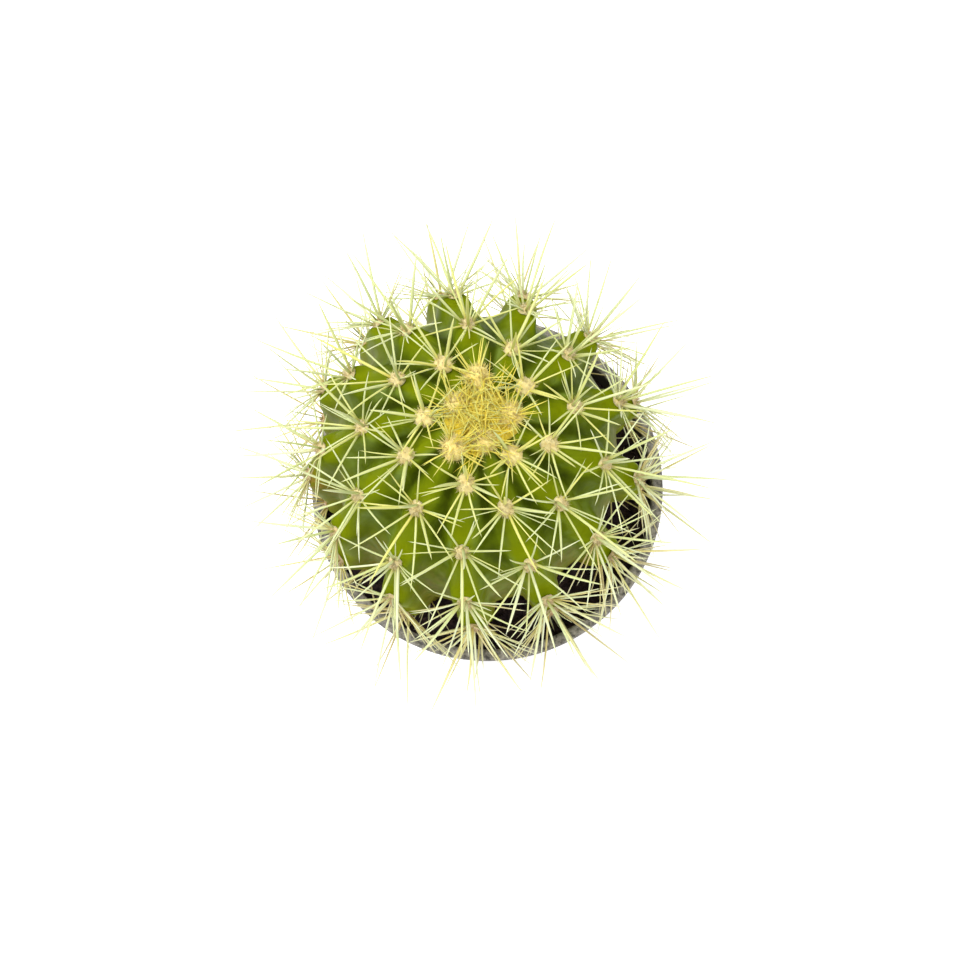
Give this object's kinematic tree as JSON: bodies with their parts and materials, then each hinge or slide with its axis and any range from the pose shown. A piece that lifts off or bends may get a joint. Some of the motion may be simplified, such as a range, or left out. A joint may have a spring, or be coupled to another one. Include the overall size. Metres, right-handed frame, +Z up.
{
  "type": "potted round cactus",
  "caption": "Young globe-shaped ribbed cactus with straw-yellow spine clusters and a woolly golden crown, standing in a round dark plastic nursery pot of potting mix.",
  "frame": {"origin": "centre of the underside of the pot, on the surface that the pot stands on", "axes": "+Z up through the pot and the plant; the camera side of the plant is -Y and +X is to the right seen from there"},
  "size_m": [0.1403, 0.1396, 0.1851],
  "materials": {
    "pot_plastic": "dark grey moulded polypropylene, satin, dusty on the lip",
    "peat_mix": "near-black damp peat with lumps and fibres",
    "stem_skin": "waxy green plant skin, lighter on the rib crests",
    "crown_wool": "golden felted plant wool",
    "areole_wool": "cream to tan plant wool",
    "spine_straw": "hard glossy straw-yellow spine"
  },
  "bodies": {
    "root": {"pot": "pot_plastic", "potting_mix": "peat_mix", "stem": "stem_skin", "crown_tuft": "crown_wool", "spine_cluster_rib01_1": "spine_straw", "spine_cluster_rib01_2": "spine_straw", "spine_cluster_rib01_3": "spine_straw", "spine_cluster_rib01_4": "spine_straw", "spine_cluster_rib02_1": "spine_straw", "spine_cluster_rib02_2": "spine_straw", "spine_cluster_rib02_3": "spine_straw", "spine_cluster_rib02_4": "spine_straw", "spine_cluster_rib03_1": "spine_straw", "spine_cluster_rib03_2": "spine_straw", "spine_cluster_rib03_3": "spine_straw", "spine_cluster_rib03_4": "spine_straw", "spine_cluster_rib04_1": "spine_straw", "spine_cluster_rib04_2": "spine_straw", "spine_cluster_rib04_3": "spine_straw", "spine_cluster_rib04_4": "spine_straw", "spine_cluster_rib05_1": "spine_straw", "spine_cluster_rib05_2": "spine_straw", "spine_cluster_rib05_3": "spine_straw", "spine_cluster_rib05_4": "spine_straw", "spine_cluster_rib06_1": "spine_straw", "spine_cluster_rib06_2": "spine_straw", "spine_cluster_rib06_3": "spine_straw", "spine_cluster_rib06_4": "spine_straw", "spine_cluster_rib07_1": "spine_straw", "spine_cluster_rib07_2": "spine_straw", "spine_cluster_rib07_3": "spine_straw", "spine_cluster_rib07_4": "spine_straw", "spine_cluster_rib08_1": "spine_straw", "spine_cluster_rib08_2": "spine_straw", "spine_cluster_rib08_3": "spine_straw", "spine_cluster_rib08_4": "spine_straw", "spine_cluster_rib09_1": "spine_straw", "spine_cluster_rib09_2": "spine_straw", "spine_cluster_rib09_3": "spine_straw", "spine_cluster_rib09_4": "spine_straw", "spine_cluster_rib10_1": "spine_straw", "spine_cluster_rib10_2": "spine_straw", "spine_cluster_rib10_3": "spine_straw", "spine_cluster_rib10_4": "spine_straw", "spine_cluster_rib11_1": "spine_straw", "spine_cluster_rib11_2": "spine_straw", "spine_cluster_rib11_3": "spine_straw", "spine_cluster_rib11_4": "spine_straw", "spine_cluster_rib12_1": "spine_straw", "spine_cluster_rib12_2": "spine_straw", "spine_cluster_rib12_3": "spine_straw", "spine_cluster_rib12_4": "spine_straw", "spine_cluster_rib13_1": "spine_straw", "spine_cluster_rib13_2": "spine_straw", "spine_cluster_rib13_3": "spine_straw", "spine_cluster_rib13_4": "spine_straw"}
  },
  "joints": []
}
